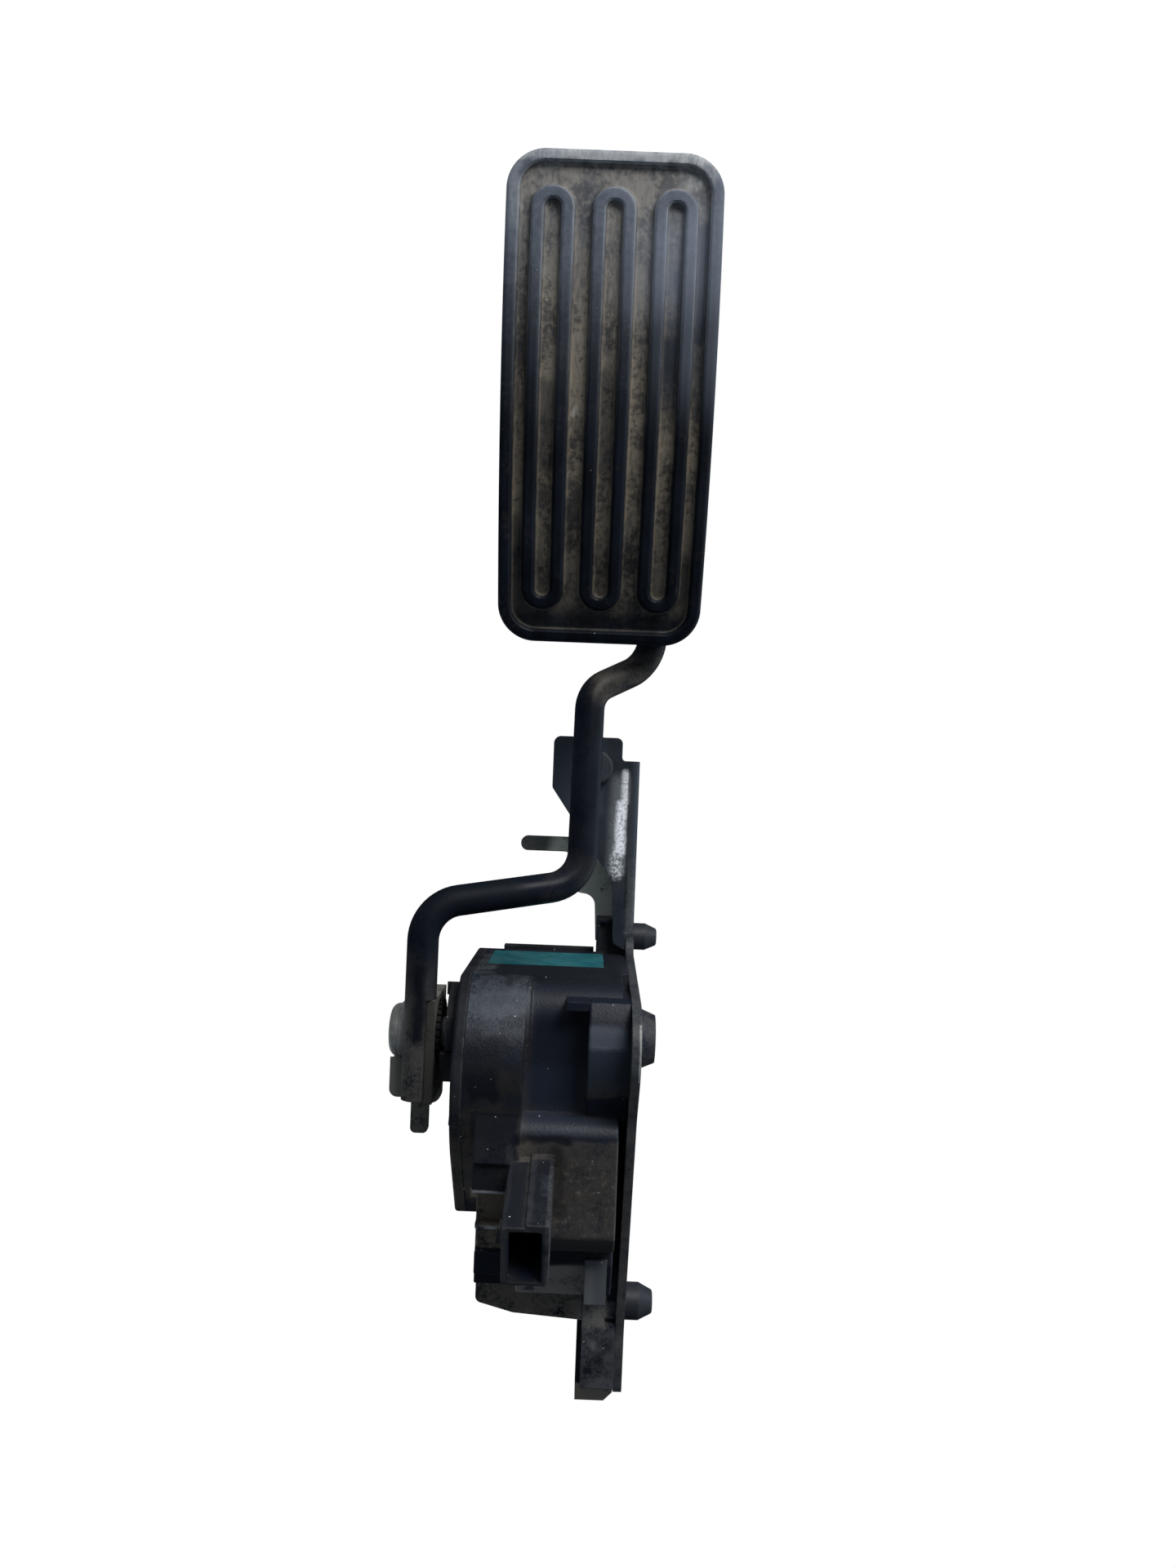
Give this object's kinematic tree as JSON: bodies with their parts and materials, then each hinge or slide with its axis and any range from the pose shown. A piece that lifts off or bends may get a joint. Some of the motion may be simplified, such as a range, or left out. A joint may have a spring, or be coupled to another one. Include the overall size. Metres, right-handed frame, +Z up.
{
  "type": "accelerator pedal",
  "caption": "Hanging accelerator pedal: bowed ribbed rubber pad on a bent rod, pivoting on a moulded sensor housing with a connector socket, on a pressed steel mounting plate.",
  "frame": {"origin": "where the pivot axis meets the outer face of the mounting plate", "axes": "as fitted in the car: +X along the pivot from the plate towards the arm, +Y away from the driver, +Z up"},
  "size_m": [0.0861, 0.1175, 0.3635],
  "materials": {
    "mounting_plate": "black paint, worn at the bend",
    "stop_bumper": "matt",
    "sensor_housing": "moulded, dusty",
    "drum_cover": "moulded, dusty",
    "hub_collar": "moulded, dusty",
    "shaft_seal": "matt",
    "outer_bush": "plain",
    "inner_bush": "plain",
    "friction_washer": "plain",
    "outer_spring": "plain",
    "inner_spring": "plain",
    "circuit_board": "solder mask",
    "field_sensor_a": "plain",
    "signal_chip": "plain",
    "rear_cover": "moulded, dusty",
    "blank_label": "teal print film",
    "contact_pin": "tinned",
    "cover_screw": "plated",
    "pedal_arm": "black paint",
    "pedal_pad": "moulded, dust in the recesses",
    "pad_plate": "black paint",
    "lever_bracket": "black paint, dusty",
    "pivot_shaft": "plated",
    "pivot_washer": "plated",
    "toothed_ring": "oiled",
    "rotor": "moulded",
    "rotor_magnet": "sintered"
  },
  "bodies": {
    "base": {"mounting_plate": "mounting_plate", "stop_bumper": "stop_bumper", "sensor_housing": "sensor_housing", "drum_cover": "drum_cover", "hub_collar": "hub_collar", "shaft_seal": "shaft_seal", "outer_bush": "outer_bush", "inner_bush": "inner_bush", "friction_washer": "friction_washer", "outer_spring": "outer_spring", "inner_spring": "inner_spring", "circuit_board": "circuit_board", "field_sensor_a": "field_sensor_a", "field_sensor_b": "field_sensor_a", "signal_chip": "signal_chip", "rear_cover": "rear_cover", "blank_label": "blank_label", "contact_pin_1": "contact_pin", "contact_pin_2": "contact_pin", "contact_pin_3": "contact_pin", "contact_pin_4": "contact_pin", "contact_pin_5": "contact_pin", "contact_pin_6": "contact_pin", "cover_screw_1": "cover_screw", "cover_screw_2": "cover_screw", "cover_screw_3": "cover_screw"},
    "pedal": {"pedal_arm": "pedal_arm", "pedal_pad": "pedal_pad", "pad_plate": "pad_plate", "lever_bracket": "lever_bracket", "pivot_shaft": "pivot_shaft", "pivot_washer": "pivot_washer", "toothed_ring": "toothed_ring", "rotor": "rotor", "rotor_magnet": "rotor_magnet"}
  },
  "joints": [
    {"name": "pedal_pivot", "type": "hinge", "parent": "base", "child": "pedal", "pos_m": [0, 0, 0], "axis": [1, 0, 0], "range_deg": [0, 13.3], "stiffness_Nm_per_rad": 8.5, "springref_deg": -20.05}
  ]
}
